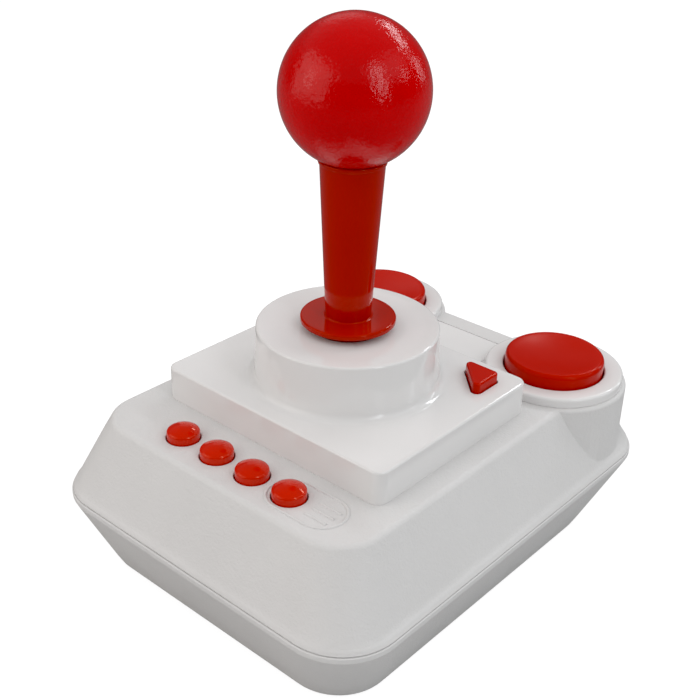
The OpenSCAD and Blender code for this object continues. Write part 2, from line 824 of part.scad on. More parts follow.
module rubber_feet() {
    color(rubber) both_sides() for (p = foot_xy) translate([p[0], p[1], 0])
        rotate_extrude() polygon([[0, 0], [foot_r - 0.5, 0], [foot_r, 0.5],
            [foot_r, foot_drop + foot_recess], [0, foot_drop + foot_recess]]);
}

module cable_bush() {
    color(dark) translate([0, inlet_y, inlet_z]) rotate([-90, 0, 0]) difference() {
        union() {
            cylinder(r = 5.6, h = 2);
            cylinder(r = 4, h = inlet_l);
        }
        translate([0, 0, -1]) cylinder(r = inlet_bore_r, h = inlet_l + 2);
    }
}

bottom_shell();
top_shell();
deck_cover();
button_bezel_left();
button_bezel_right();
fire_button_left();
fire_button_right();
fire_button_spring_left();
fire_button_spring_right();
fire_switch_left();
fire_switch_right();
fire_button_board();
triangle_button_left();
triangle_button_right();
triangle_switches();
deck_button_board();
front_button_1();
front_button_2();
front_button_3();
front_button_4();
keypad_mat();
front_button_board();
ball_knob();
knob_insert();
stick_sleeve();
stick_shaft();
stick_hub();
gimbal_ring();
inner_pivot_pins();
outer_pivot_pins();
pivot_frame();
centring_spring();
switch_frame();
microswitch_left();
microswitch_right();
microswitch_front();
microswitch_back();
actuator();
e_clip();
restrictor_plate();
frame_screws();
main_board();
controller_chip();
board_headers();
front_ribbon();
rear_ribbon();
board_screws();
deck_screws();
case_screws();
rubber_feet();
cable_bush();
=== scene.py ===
"""Looks of the joystick controller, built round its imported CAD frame."""

import json
import math

import bmesh
import bpy
from mathutils import Matrix, Vector


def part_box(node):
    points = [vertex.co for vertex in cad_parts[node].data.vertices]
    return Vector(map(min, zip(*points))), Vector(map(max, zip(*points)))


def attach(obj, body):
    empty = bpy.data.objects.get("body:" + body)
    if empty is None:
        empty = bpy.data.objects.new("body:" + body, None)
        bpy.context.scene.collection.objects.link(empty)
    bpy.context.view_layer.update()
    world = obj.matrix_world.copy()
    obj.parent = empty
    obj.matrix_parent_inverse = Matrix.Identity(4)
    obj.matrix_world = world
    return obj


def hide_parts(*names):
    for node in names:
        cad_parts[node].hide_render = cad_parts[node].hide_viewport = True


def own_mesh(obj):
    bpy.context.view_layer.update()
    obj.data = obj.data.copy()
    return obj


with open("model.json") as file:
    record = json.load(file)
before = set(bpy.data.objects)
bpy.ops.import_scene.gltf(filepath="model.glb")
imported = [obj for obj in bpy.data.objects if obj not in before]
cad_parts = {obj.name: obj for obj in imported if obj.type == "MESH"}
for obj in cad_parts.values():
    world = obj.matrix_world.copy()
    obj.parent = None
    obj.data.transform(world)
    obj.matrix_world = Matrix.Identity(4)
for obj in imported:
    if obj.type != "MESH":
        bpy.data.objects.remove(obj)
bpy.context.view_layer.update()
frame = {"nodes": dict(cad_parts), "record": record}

MM = 0.001
TURN = 2 * math.pi
ROUND = 144  # segments round a lathe

# ---------------------------------------------------------------- sizes from the frame

bottom_low, bottom_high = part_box("bottom_shell")
_, top_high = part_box("top_shell")
deck_low, deck_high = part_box("deck_cover")
sleeve_low, sleeve_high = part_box("stick_sleeve")
ball_low, ball_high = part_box("ball_knob")
bezel_low, bezel_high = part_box("button_bezel_right")
fire_low, fire_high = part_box("fire_button_right")

STICK = Vector(((ball_low.x + ball_high.x) / 2, (ball_low.y + ball_high.y) / 2, 0))
BALL_R = (ball_high.x - ball_low.x) / 2
BALL_Z = ball_high.z - BALL_R
CASE_TOP = top_high.z
CASE_HW, CASE_HD = bottom_high.x, bottom_high.y
FIRE = Vector(((bezel_low.x + bezel_high.x) / 2, (bezel_low.y + bezel_high.y) / 2, 0))
BEZEL_R = (bezel_high.x - bezel_low.x) / 2

# Outlines of the case, each (half width, front y, back y, corner radius, z), as in the CAD source
FLOOR_Z = bottom_low.z
BELT_Z = 20.5 * MM
LIP_TOP = bottom_high.z
SEAM_TOP = LIP_TOP + 0.15 * MM
BOTTOM = (CASE_HW - 7.8 * MM, -CASE_HD + 8.2 * MM, CASE_HD - 13.4 * MM, 13.4 * MM, FLOOR_Z)
BELT = (CASE_HW, -CASE_HD, CASE_HD, 15.7 * MM, BELT_Z)
SKIRT = (CASE_HW - 0.3 * MM, -CASE_HD + 0.4 * MM, CASE_HD - 0.4 * MM, 15.3 * MM, SEAM_TOP)
SLOPE = (CASE_HW - 1.7 * MM, -CASE_HD + 1.4 * MM, CASE_HD - 1.5 * MM, 13.6 * MM, LIP_TOP + 1.9 * MM)
TOP = (CASE_HW - 9.7 * MM, -CASE_HD + 9.4 * MM, CASE_HD - 10.9 * MM, 11 * MM, CASE_TOP)
WALL = 2 * MM
TURRET_R = 19.5 * MM
SLEEVE_HOLE_R = 15.1 * MM
SCREW_HEAD_R = 2.7 * MM
SMALL_R = 4.1 * MM
DECK_TOP = 51.4 * MM
TRIANGLE_FLANGE = 0.9 * MM
FOOT_R = 5 * MM

# ---------------------------------------------------------------- light levels

BACKDROP = 0.3  # brightness of the backdrop
CEILING = 0.85
REFLECTED = 0.3  # share of both that shows in reflections
FLOOR_BOUNCE = 0.62  # share of the light that the floor throws back on the object
FLOOR_GLOW = 0.92  # the floor as the camera sees it: its own light, and the grey that takes shadows
FLOOR_GREY = 0.16
BLACK_LEVEL = 0.005

# Strengths of the lights, in watts
WINDOW_POWER = 0.85
PANE_POWER = 0.2
SIDE_POWER = 0.6
BACK_POWER = 1.1
BACK_SIDE_POWER = 0.35
FAR_POWER = 0.08
FRONT_POWER = 2.35
STRIP_POWER = 0.15
WARM = (1, 0.93, 0.88)
COOL = (0.93, 0.97, 1)


# ---------------------------------------------------------------- mesh helpers

def rect_ring(x0, y0, x1, y1, r, z, side=28, corner=14):
    """Points of a rectangle with round corners, counter-clockwise from the right side's front end."""
    centres = ((x1 - r, y1 - r, 0), (x0 + r, y1 - r, 1), (x0 + r, y0 + r, 2), (x1 - r, y0 + r, 3))
    ends = [centres[3], *centres[:3]]
    points = []
    for (px, py, _), (cx, cy, quarter) in zip(ends, centres):
        a = quarter * math.pi / 2
        nx, ny = math.cos(a), math.sin(a)
        for i in range(side):
            t = i / side
            points.append(Vector((px + (cx - px) * t + r * nx, py + (cy - py) * t + r * ny, z)))
        for i in range(corner):
            b = a + math.pi / 2 * i / corner
            points.append(Vector((cx + r * math.cos(b), cy + r * math.sin(b), z)))
    return points


def level_ring(level, inset, z):
    """Ring of one case outline moved in by inset, at height z."""
    w, front, back, r, _ = level
    return rect_ring(-w + inset, front + inset, w - inset, back - inset, max(r - inset, 0.5 * MM), z)


def between(a, b, t):
    """Case outline a share t of the way from a to b."""
    return tuple(p + (q - p) * t for p, q in zip(a, b))


def circle_ring(centre, r, z, n=ROUND):
    """Points of a circle round centre."""
    return [
        Vector((centre.x + r * math.cos(TURN * i / n), centre.y + r * math.sin(TURN * i / n), z))
        for i in range(n)
    ]


def arc(cx, cz, r, start, end, steps=8):
    """Profile points (radius, z) of an arc, angles in degrees from the outward direction."""
    angles = [math.radians(start + (end - start) * i / steps) for i in range(steps + 1)]
    return [(cx + r * math.cos(a), cz + r * math.sin(a)) for a in angles]


def add_object(name, mesh):
    """Links a new object that shows mesh."""
    obj = bpy.data.objects.new(name, mesh)
    bpy.context.scene.collection.objects.link(obj)
    return obj


def loft(name, rings, closed=False):
    """Solid through rings of equal length, capped at its ends or, if closed, joined end to end."""
    bm = bmesh.new()
    loops = [[bm.verts.new(p) for p in ring] for ring in rings]
    pairs = list(zip(loops, loops[1:] + loops[:1])) if closed else list(zip(loops, loops[1:]))
    for a, b in pairs:
        for i in range(len(a)):
            j = (i + 1) % len(a)
            bm.faces.new((a[i], a[j], b[j], b[i]))
    if not closed:
        bm.faces.new(loops[0][::-1])
        bm.faces.new(loops[-1])
    bmesh.ops.recalc_face_normals(bm, faces=bm.faces)
    mesh = bpy.data.meshes.new(name)
    bm.to_mesh(mesh)
    bm.free()
    return add_object(name, mesh)


def lathe(name, profile, centre, n=ROUND):
    """Solid of revolution about the vertical line through centre; profile goes round its half section."""
    bm = bmesh.new()
    loops = []
    for r, z in profile:
        if r < 1e-7:
            loops.append([bm.verts.new((centre.x, centre.y, z))])
        else:
            loops.append([bm.verts.new(p) for p in circle_ring(centre, r, z, n)])
    open_ends = len(loops[0]) == 1 and len(loops[-1]) == 1
    pairs = list(zip(loops, loops[1:])) if open_ends else list(zip(loops, loops[1:] + loops[:1]))
    for a, b in pairs:
        for i in range(n):
            j = (i + 1) % n
            if len(a) == 1:
                bm.faces.new((a[0], b[j], b[i]))
            elif len(b) == 1:
                bm.faces.new((a[i], a[j], b[0]))
            else:
                bm.faces.new((a[i], a[j], b[j], b[i]))
    bmesh.ops.recalc_face_normals(bm, faces=bm.faces)
    mesh = bpy.data.meshes.new(name)
    bm.to_mesh(mesh)
    bm.free()
    return add_object(name, mesh)


def boolean(obj, tool, operation):
    """Applies an exact boolean with tool, which is then removed."""
    mod = obj.modifiers.new(operation, "BOOLEAN")
    mod.operation = operation
    mod.solver = "EXACT"
    mod.object = tool
    bpy.context.view_layer.update()
    made = bpy.data.meshes.new_from_object(obj.evaluated_get(bpy.context.evaluated_depsgraph_get()))
    obj.modifiers.clear()
    old, obj.data = obj.data, made
    bpy.data.meshes.remove(old)
    bpy.data.objects.remove(tool)


def join(obj, others):
    """Adds the other solids to obj's mesh as bodies of their own."""
    bm = bmesh.new()
    bm.from_mesh(obj.data)
    for other in others:
        bm.from_mesh(other.data)
        bpy.data.objects.remove(other)
    bm.to_mesh(obj.data)
    bm.free()


def corners(node, inset):
    """Centres of a CAD node's four equal items, inset from the sides of its box."""
    low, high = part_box(node)
    xs = (low.x + inset, high.x - inset)
    ys = (low.y + inset, high.y - inset)
    return [Vector((x, y, 0)) for x in xs for y in ys]


def cut_hole(obj, centre, r, z0, z1, flare=0.0):
    """Cuts a round hole, with a rounded edge of radius flare at its top."""
    profile = [(0, z0), (r, z0)]
    if flare:
        profile += [(r, z1 - flare)]
        for i in range(1, 7):
            a = math.radians(15 * i)
            profile.append((r + flare * (1 - math.cos(a)), z1 - flare + flare * math.sin(a)))
        profile += [(r + flare, z1 + 2 * MM), (0, z1 + 2 * MM)]
    else:
        profile += [(r, z1), (0, z1)]
    boolean(obj, lathe("cutter", profile, centre, 64), "DIFFERENCE")


def tube(name, centre, r, r_in, z0, z1):
    """Plain boss with a hole down its middle and softly broken edges."""
    e = 0.2 * MM
    profile = [(r_in, z0), (r - e, z0), (r, z0 + e), (r, z1 - e), (r - e, z1), (r_in, z1)]
    return lathe(name, profile, centre, 40)


def finish_shading(obj, sharp=32):
    """Smooth shading with hard edges kept, and flat faces kept flat beside their rounds."""
    mesh = obj.data
    mesh.shade_smooth()
    mesh.set_sharp_from_angle(angle=math.radians(sharp))
    mod = obj.modifiers.new("flat faces", "WEIGHTED_NORMAL")
    mod.keep_sharp = True


def place(obj, body, material, slot, *nodes):
    """Gives a new piece its material, its body and the CAD nodes that it stands for."""
    obj.data.materials.clear()
    obj.data.materials.append(material)
    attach(obj, body)
    if nodes:
        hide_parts(*nodes)
    return obj


def mirrored(obj, name):
    """Copy of obj on the other side of the middle plane."""
    mesh = obj.data.copy()
    mesh.transform(Matrix.Scale(-1, 4, (1, 0, 0)))
    mesh.flip_normals()
    twin = add_object(name, mesh)
    for m in obj.modifiers:
        new = twin.modifiers.new(m.name, m.type)
        if m.type == "WEIGHTED_NORMAL":
            new.keep_sharp = True
    return twin


# ---------------------------------------------------------------- materials

def material(name):
    """New node material, with its node tree, its shader and the object's own coordinates."""
    mat = bpy.data.materials.new(name)
    mat.use_nodes = True
    tree = mat.node_tree
    shader = next(n for n in tree.nodes if n.type == "BSDF_PRINCIPLED")
    coords = tree.nodes.new("ShaderNodeTexCoord")
    return mat, tree, shader, coords.outputs["Object"]


def noise(tree, coords, size, detail=2.0, roughness=0.5, distortion=0.0):
    """Noise whose features are about size metres."""
    node = tree.nodes.new("ShaderNodeTexNoise")
    node.inputs["Scale"].default_value = 1 / size
    node.inputs["Detail"].default_value = detail
    node.inputs["Roughness"].default_value = roughness
    node.inputs["Distortion"].default_value = distortion
    tree.links.new(coords, node.inputs["Vector"])
    return node.outputs["Fac"]


def to_range(tree, value, low, high):
    """Maps a noise from its usual range to low..high."""
    node = tree.nodes.new("ShaderNodeMapRange")
    node.inputs["From Min"].default_value = 0.3
    node.inputs["From Max"].default_value = 0.7
    node.inputs["To Min"].default_value = low
    node.inputs["To Max"].default_value = high
    tree.links.new(value, node.inputs["Value"])
    return node.outputs["Result"]


def mix_colours(tree, factor, a, b):
    """Mixes two colours by factor."""
    node = tree.nodes.new("ShaderNodeMix")
    node.data_type = "RGBA"
    tree.links.new(factor, node.inputs["Factor"])
    node.inputs["A"].default_value = (*a, 1)
    node.inputs["B"].default_value = (*b, 1)
    return node.outputs["Result"]


def bump(tree, shader, height, depth):
    """Bump of the given depth in metres."""
    node = tree.nodes.new("ShaderNodeBump")
    node.inputs["Distance"].default_value = depth
    node.inputs["Strength"].default_value = 1
    tree.links.new(height, node.inputs["Height"])
    tree.links.new(node.outputs["Normal"], shader.inputs["Normal"])


def add_values(tree, a, b, share):
    """a + share * b."""
    node = tree.nodes.new("ShaderNodeMath")
    node.operation = "MULTIPLY_ADD"
    tree.links.new(b, node.inputs[0])
    node.inputs[1].default_value = share
    tree.links.new(a, node.inputs[2])
    return node.outputs["Value"]


def moulded(name, colour, dark, rough, grain, depth, specular=0.5, spread=0.05, tint=None):
    """Moulded plastic: slight colour drift, roughness drift and a grain of the given size and depth."""
    mat, tree, shader, coords = material(name)
    drift = noise(tree, coords, 18 * MM, 3)
    shader.inputs["Base Color"].default_value = (*colour, 1)
    tree.links.new(mix_colours(tree, to_range(tree, drift, 0, 1), colour, dark), shader.inputs["Base Color"])
    fine = noise(tree, coords, grain, 3, 0.55)
    tree.links.new(to_range(tree, fine, rough - spread, rough + spread), shader.inputs["Roughness"])
    shader.inputs["Specular IOR Level"].default_value = specular
    if tint:
        shader.inputs["Specular Tint"].default_value = (*tint, 1)
    coarse = noise(tree, coords, grain * 2.6, 2, 0.5, 0.4)
    bump(tree, shader, add_values(tree, fine, coarse, 0.9), depth)
    return mat


def metal(name, colour, rough):
    """Bare metal with a faint machined grain."""
    mat, tree, shader, coords = material(name)
    shader.inputs["Metallic"].default_value = 1
    lines = noise(tree, coords, 0.6 * MM, 4, 0.6)
    dark = tuple(c * 0.82 for c in colour)
    tree.links.new(mix_colours(tree, to_range(tree, lines, 0, 1), colour, dark), shader.inputs["Base Color"])
    tree.links.new(to_range(tree, lines, rough - 0.08, rough + 0.08), shader.inputs["Roughness"])
    bump(tree, shader, lines, 0.01 * MM)
    return mat


def circuit_board(name):
    """Green solder mask with slightly raised tracks under it."""
    mat, tree, shader, coords = material(name)
    tracks = tree.nodes.new("ShaderNodeTexBrick")
    tracks.inputs["Scale"].default_value = 160
    tracks.inputs["Mortar Size"].default_value = 0.06
    tracks.inputs["Color1"].default_value = (0.012, 0.085, 0.035, 1)
    tracks.inputs["Color2"].default_value = (0.012, 0.075, 0.03, 1)
    tracks.inputs["Mortar"].default_value = (0.03, 0.16, 0.06, 1)
    tree.links.new(coords, tracks.inputs["Vector"])
    tree.links.new(tracks.outputs["Color"], shader.inputs["Base Color"])
    shader.inputs["Roughness"].default_value = 0.35
    bump(tree, shader, tracks.outputs["Fac"], 0.02 * MM)
    return mat


def ribbon_cable(name):
    """Flat grey ribbon with a ridge for every second wire, painted lighter on the ridges and darker in the
    grooves as shade.
    """
    mat, tree, shader, coords = material(name)
    wires = tree.nodes.new("ShaderNodeTexWave")
    wires.bands_direction = "X"
    pitch = 2.54 * MM  # from ridge to ridge
    wires.inputs["Scale"].default_value = TURN / (20 * pitch)  # Blender's bands come 20 to a turn at scale 1
    tree.links.new(coords, wires.inputs["Vector"])
    # painted shade: the same bands that raise the ridges colour the grooves darker grey and the ridge tops
    # lighter
    tree.links.new(
        mix_colours(tree, wires.outputs["Fac"], (0.30, 0.31, 0.33), (0.45, 0.46, 0.48)),
        shader.inputs["Base Color"],
    )
    shader.inputs["Roughness"].default_value = 0.5
    bump(tree, shader, wires.outputs["Fac"], 0.15 * MM)
    return mat


AMBER = (1, 0.5, 0.3)  # tint of the reflections on the red parts
CASE = moulded("case plastic", (0.68, 0.67, 0.663), (0.655, 0.645, 0.638), 0.5, 0.6 * MM, 0.09 * MM)
GLOSS = moulded(
    "deck plastic", (0.76, 0.749, 0.742), (0.74, 0.729, 0.722), 0.07, 6 * MM, 0.008 * MM,
    spread=0.02,
)
BALL = moulded(
    "ball red", (0.6, 0.0, 0.0), (0.5, 0.0, 0.0), 0.045, 0.85 * MM, 0.12 * MM,
    specular=0.38, spread=0.02,
)
SLEEVE = moulded(
    "sleeve red", (0.42, 0.009, 0.0), (0.39, 0.008, 0.0), 0.08, 5 * MM, 0.004 * MM,
    specular=0.3, spread=0.02, tint=AMBER,
)
BUTTON = moulded(
    "button red", (0.48, 0.007, 0.0), (0.46, 0.006, 0.0), 0.2, 4 * MM, 0.004 * MM,
    specular=0.2, spread=0.03, tint=AMBER,
)
SMALL = moulded(
    "small button red", (0.58, 0.012, 0.001), (0.55, 0.01, 0.001), 0.08, 3 * MM, 0.004 * MM,
    specular=0.7, spread=0.02, tint=AMBER,
)
BLACK = moulded("black plastic", (0.02, 0.02, 0.021), (0.028, 0.028, 0.03), 0.5, 0.5 * MM, 0.02 * MM)
NATURAL = moulded("natural plastic", (0.62, 0.6, 0.54), (0.56, 0.54, 0.48), 0.45, 1 * MM, 0.01 * MM)
SILICONE = moulded("silicone", (0.42, 0.42, 0.42), (0.38, 0.38, 0.38), 0.6, 1 * MM, 0.01 * MM)
RUBBER = moulded("rubber", (0.03, 0.03, 0.03), (0.045, 0.045, 0.045), 0.75, 0.4 * MM, 0.03 * MM)
STEEL = metal("steel", (0.55, 0.56, 0.58), 0.32)
BRASS = metal("brass", (0.62, 0.42, 0.14), 0.3)
BOARD = circuit_board("circuit board")
RIBBON = ribbon_cable("ribbon cable")


# ---------------------------------------------------------------- case

def make_bottom_shell():
    """Lower half of the case: tapering wall, rounded belt, hollow, with recesses for feet and screws."""
    rise = BELT_Z - FLOOR_Z
    edge = 0.5 * MM  # rounding of the floor's edge
    rings = [level_ring(BOTTOM, inset, FLOOR_Z) for inset in (9 * MM, 2.5 * MM)]
    for i in range(7):
        a = math.radians(90 - 13 * i)
        inset = edge * (1 - math.cos(a)) - 0.1 * MM * i / 6
        rings.append(level_ring(BOTTOM, inset, FLOOR_Z + edge * (1 - math.sin(a))))
    for t in (0.12, 0.4, 0.7, 0.97):
        rings.append(level_ring(between(BOTTOM, BELT, t), 0, FLOOR_Z + rise * t))
    lip_r = 0.3 * MM
    rings.append(level_ring(BELT, 0.02 * MM, BELT_Z))
    rings.append(level_ring(BELT, 0, BELT_Z + 0.15 * MM))
    for i in range(7):
        a = math.radians(15 * i)
        rings.append(level_ring(BELT, lip_r * (1 - math.cos(a)), LIP_TOP - lip_r * (1 - math.sin(a))))
    inner = WALL + 0.2 * MM
    rings.append(level_ring(BELT, inner, LIP_TOP))
    rings.append(level_ring(BELT, inner, BELT_Z))
    floor_in = FLOOR_Z + 2.2 * MM  # upper face of the floor
    rings.append(level_ring(BOTTOM, WALL, floor_in + 1.2 * MM))
    rings.append(level_ring(BOTTOM, inner + 0.9 * MM, floor_in))
    rings.append(level_ring(BOTTOM, 12 * MM, floor_in))
    shell = loft("bottom_shell_visual", rings)
    _, feet_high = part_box("rubber_feet")
    below = FLOOR_Z - 1 * MM
    for centre in corners("rubber_feet", FOOT_R):
        cut_hole(shell, centre, FOOT_R + 0.1 * MM, below, feet_high.z)
    head_r = 3.1 * MM  # hole for a screw's head
    head_z = 5.2 * MM
    bosses = []
    for centre in corners("case_screws", SCREW_HEAD_R):
        bosses.append(tube("boss", centre, 3.6 * MM, 1.7 * MM, head_z, 12.6 * MM))
        cut_hole(shell, centre, head_r, below, head_z)
        bosses.append(tube("boss foot", centre, 4.6 * MM, head_r, FLOOR_Z + 1 * MM, head_z + 0.2 * MM))
    cut_inlet(shell)
    board_low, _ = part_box("main_board")
    for centre in corners("main_board", 4 * MM):
        bosses.append(tube("standoff", centre, 2.6 * MM, 0.85 * MM, FLOOR_Z + 2 * MM, board_low.z))
    join(shell, bosses)
    finish_shading(shell)
    place(shell, "housing", CASE, "case_plastic", "bottom_shell")


def cut_inlet(shell):
    """Round hole in the back wall for the cable's bush."""
    bush_low, bush_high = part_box("cable_bush")
    r, start, end = 4.05 * MM, -8 * MM, 16 * MM
    hole = lathe("inlet", [(0, start), (r, start), (r, end), (0, end)], Vector((0, 0, 0)), 48)
    middle = (bush_low.z + bush_high.z) / 2
    lay = Matrix.Rotation(-math.pi / 2, 4, "X")
    hole.data.transform(Matrix.Translation((0, bush_low.y, middle)) @ lay)
    boolean(shell, hole, "DIFFERENCE")


def make_top_shell():
    """Upper half of the case: skirt, slopes, flat top and the two turrets."""
    shell = loft("top_shell_visual", top_shell_rings())
    turret_z = SLOPE[4] - 0.4 * MM
    e = 1.0 * MM  # rounding of a turret's edge
    for s in (-1, 1):
        profile = [(0, turret_z), (TURRET_R, turret_z)]
        profile += arc(TURRET_R - e, CASE_TOP - e, e, 0, 90, 8) + [(0, CASE_TOP)]
        boolean(shell, lathe("turret", profile, Vector((s * FIRE.x, FIRE.y, 0))), "UNION")
    cavity = loft("cavity", [
        level_ring(SLOPE, WALL, SLOPE[4] - 4 * MM),
        level_ring(SLOPE, WALL, SLOPE[4]),
        level_ring(TOP, WALL + 0.4 * MM, CASE_TOP - WALL),
    ])
    boolean(shell, cavity, "DIFFERENCE")
    for s in (-1, 1):
        centre = Vector((s * FIRE.x, FIRE.y, 0))
        cut_hole(shell, centre, TURRET_R - WALL, 18 * MM, CASE_TOP - WALL)
        cut_hole(shell, centre, SLEEVE_HOLE_R, 30 * MM, CASE_TOP + 1 * MM)
    opening = loft("opening", [
        rect_ring(-27 * MM, -30 * MM, 27 * MM, 19.6 * MM, 2 * MM, z, 4, 8)
        for z in (CASE_TOP - 5 * MM, CASE_TOP + 5 * MM)
    ])
    boolean(shell, opening, "DIFFERENCE")
    half, length = 12.75 * MM, 27.2 * MM
    recess = loft("recess", [
        rect_ring(-half, deck_high.y - length, half, deck_high.y + 0.15 * MM, 0.5 * MM, z, 4, 6)
        for z in (CASE_TOP - 1 * MM, CASE_TOP + 2 * MM)
    ])
    boolean(shell, recess, "DIFFERENCE")
    for i in range(4):
        low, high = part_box(f"front_button_{i + 1}")
        cut_hole(shell, (low + high) / 2, SMALL_R + 0.25 * MM, 30 * MM, CASE_TOP, 0.2 * MM)
    post_top = CASE_TOP - WALL + 0.5 * MM
    posts = [tube("post", centre, 3.5 * MM, 1.25 * MM, 12.6 * MM, post_top)
             for centre in corners("case_screws", SCREW_HEAD_R)]
    join(shell, posts)
    finish_shading(shell)
    place(shell, "housing", CASE, "case_plastic", "top_shell")


def top_shell_rings():
    """Outer surface of the top shell, from the seam to the flat top."""
    fillet = 1.8 * MM
    seam = SKIRT[4]
    height = TOP[4] - SLOPE[4]
    rings = [level_ring(SKIRT, 3 * MM, seam), level_ring(SKIRT, 0.15 * MM, seam)]
    rings.append(level_ring(SKIRT, 0.05 * MM, seam + 0.05 * MM))
    rings.append(level_ring(SKIRT, 0.0, seam + 0.2 * MM))
    for t in (0.25, 0.45, 0.62, 0.78, 0.9):
        flare = 0.5 * t + 0.5 * t ** 3  # share of the way in at a share t of the way up
        rings.append(level_ring(between(SKIRT, SLOPE, flare), 0, seam + t * (SLOPE[4] - seam)))
    rings.append(level_ring(between(SLOPE, TOP, 0.01), 0, SLOPE[4] + 0.02 * height))
    for t in (0.05, 0.25, 0.5, 0.75):
        rings.append(level_ring(between(SLOPE, TOP, t), 0, SLOPE[4] + t * height))
    angle = math.atan2(SLOPE[0] - TOP[0], height)  # slope from the vertical
    back = fillet * math.tan((math.pi / 2 - angle) / 2)
    for i in range(9):
        a = angle + (math.pi / 2 - angle) * i / 8  # normal's angle above the horizon
        rings.append(level_ring(TOP, back - fillet * math.cos(a), TOP[4] - fillet * (1 - math.sin(a))))
    rings.append(level_ring(TOP, back + 1.5 * MM, TOP[4]))
    return rings


def make_menu_outline():
    """Raised outline round the rightmost small button, with three short bars beside it."""
    low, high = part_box("front_button_4")
    x0 = (low.x + high.x) / 2
    y0 = (low.y + high.y) / 2
    half = 5.9 * MM
    length = 9.4 * MM
    parts = [ridge("outline", pill_path(x0, y0 + 0.6 * MM, half, length), True)]
    for k in (-1, 0, 1):
        y = y0 + 0.3 * MM + 2.5 * MM * k
        parts.append(ridge("bar", [(x0 + 7 * MM, y), (x0 + 13.2 * MM, y)], False))
    mark = parts[0]
    mark.name = "menu_outline"
    join(mark, parts[1:])
    finish_shading(mark, 60)
    place(mark, "housing", CASE, "case_plastic")


def pill_path(x, y, half, length):
    """Points round a slot's outline whose round ends are about x and x + length."""
    steps = 28
    points = []
    for centre, start in ((x + length, -90), (x, 90)):
        for i in range(steps + 1):
            a = math.radians(start + 180 * i / steps)
            points.append((centre + half * math.cos(a), y + half * math.sin(a)))
    return points


def ridge(name, path, closed, width=0.8 * MM, height=0.3 * MM):
    """Low rounded ridge along a path on the case's top."""
    section = [(-0.5, -0.5), (-0.5, 0.35), (-0.3, 0.85), (0, 1), (0.3, 0.85), (0.5, 0.35), (0.5, -0.5)]
    n = len(path)
    rings = []
    for i, (x, y) in enumerate(path):
        a = path[(i - 1) % n] if closed or i else path[i]
        b = path[(i + 1) % n] if closed or i < n - 1 else path[i]
        d = Vector((b[0] - a[0], b[1] - a[1], 0)).normalized()
        side = Vector((-d.y, d.x, 0))
        rings.append([Vector((x, y, CASE_TOP + v * height)) + side * (u * width) for u, v in section])
    return loft(name, rings, closed)


# ---------------------------------------------------------------- deck, collar and bezels

def make_deck():
    """Glossy raised deck with its collar, tongue and triangular holes."""
    hw = deck_high.x
    front, back = deck_low.y, 2 * STICK.y - deck_low.y
    top = DECK_TOP
    under = top - WALL
    collar_top = deck_high.z
    collar_r = 22.9 * MM
    foot = collar_r + 0.4 * MM

    def square(inset, z):
        r = max(3 * MM - inset, 0.8 * MM)
        return rect_ring(-hw + inset, front + inset, hw - inset, back - inset, r, z, 36, 12)

    angles = [math.atan2(p.y - STICK.y, p.x) for p in square(0, 0)]

    def circle(r, z):
        return [Vector((r * math.cos(a), STICK.y + r * math.sin(a), z)) for a in angles]

    dish = 0.45 * MM
    hole = 9 * MM
    lip = 0.35 * MM
    dish_in, dish_out = 13.2 * MM, 21.6 * MM
    rings = [circle(hole, collar_top - WALL), circle(hole, collar_top - dish - lip)]
    rings += [circle(r, z) for r, z in arc(hole + lip, collar_top - dish - lip, lip, 180, 90, 4)[1:]]
    for i in range(13):
        t = i / 12
        rise = dish * t * t * (3 - 2 * t)
        rings.append(circle(dish_in + (dish_out - dish_in) * t, collar_top - dish + rise))
    edge = 0.6 * MM
    rings += [circle(r, z) for r, z in arc(collar_r - edge, collar_top - edge, edge, 90, 0, 10)]
    fillet = 2.1 * MM
    rings += [circle(foot - 0.2 * MM, (collar_top + top) / 2)]
    rings += [circle(r, z) for r, z in arc(foot + fillet, top + fillet, fillet, 180, 270, 10)]
    rings.append(circle(foot + fillet + 0.5 * MM, top))
    round_r = 0.6 * MM
    rings.append(square(round_r + 0.4 * MM, top))
    for i in range(9):
        a = math.radians(90 - 90 * i / 8)
        rings.append(square(round_r * (1 - math.cos(a)), top - round_r * (1 - math.sin(a))))
    rings.append(square(0, CASE_TOP + 0.3 * MM))
    rings.append(square(0.05 * MM, CASE_TOP))
    rings.append(square(WALL, CASE_TOP))
    rings.append(square(WALL, under))
    rings.append(circle(collar_r - WALL, under))
    rings.append(circle(collar_r - WALL, collar_top - WALL))
    deck = loft("deck_cover_visual", rings, closed=True)
    for s in (-1, 1):
        hole = triangle_solid("hole", s, 0.35 * MM, under - 1 * MM, top + 1 * MM)
        boolean(deck, hole, "DIFFERENCE")
    join(deck, [make_tongue(back - 1.8 * MM), *deck_bosses(under + 0.3 * MM)])
    finish_shading(deck)
    place(deck, "housing", GLOSS, "deck_plastic", "deck_cover")


def make_tongue(start):
    """Flat tongue of the deck cover, from start to its back edge, with a broken edge all round."""
    e = 0.15 * MM
    half = 12.6 * MM
    low = CASE_TOP - 1 * MM
    levels = ((e, low), (0, low + e), (0, CASE_TOP - e), (e, CASE_TOP))
    return loft("tongue", [
        rect_ring(-half + i, start + i, half - i, deck_high.y - i, 0.4 * MM, z, 4, 6) for i, z in levels
    ])


def deck_bosses(top):
    """Screw bosses under the deck: four for the deck's own screws and four for the pivot frame's."""
    bosses = []
    deck_x, deck_ys = 30.3 * MM, (-31 * MM, -2 * MM)
    for y in deck_ys:
        for x in (-deck_x, deck_x):
            bosses.append(tube("boss", Vector((x, y, 0)), 3 * MM, 1.28 * MM, CASE_TOP, top))
    reach = 18.6 * MM
    for x in (-reach, reach):
        for y in (-reach, reach):
            bosses.append(tube("boss", STICK + Vector((x, y, 0)), 2.4 * MM, 1.28 * MM, 45.6 * MM, top))
    return bosses


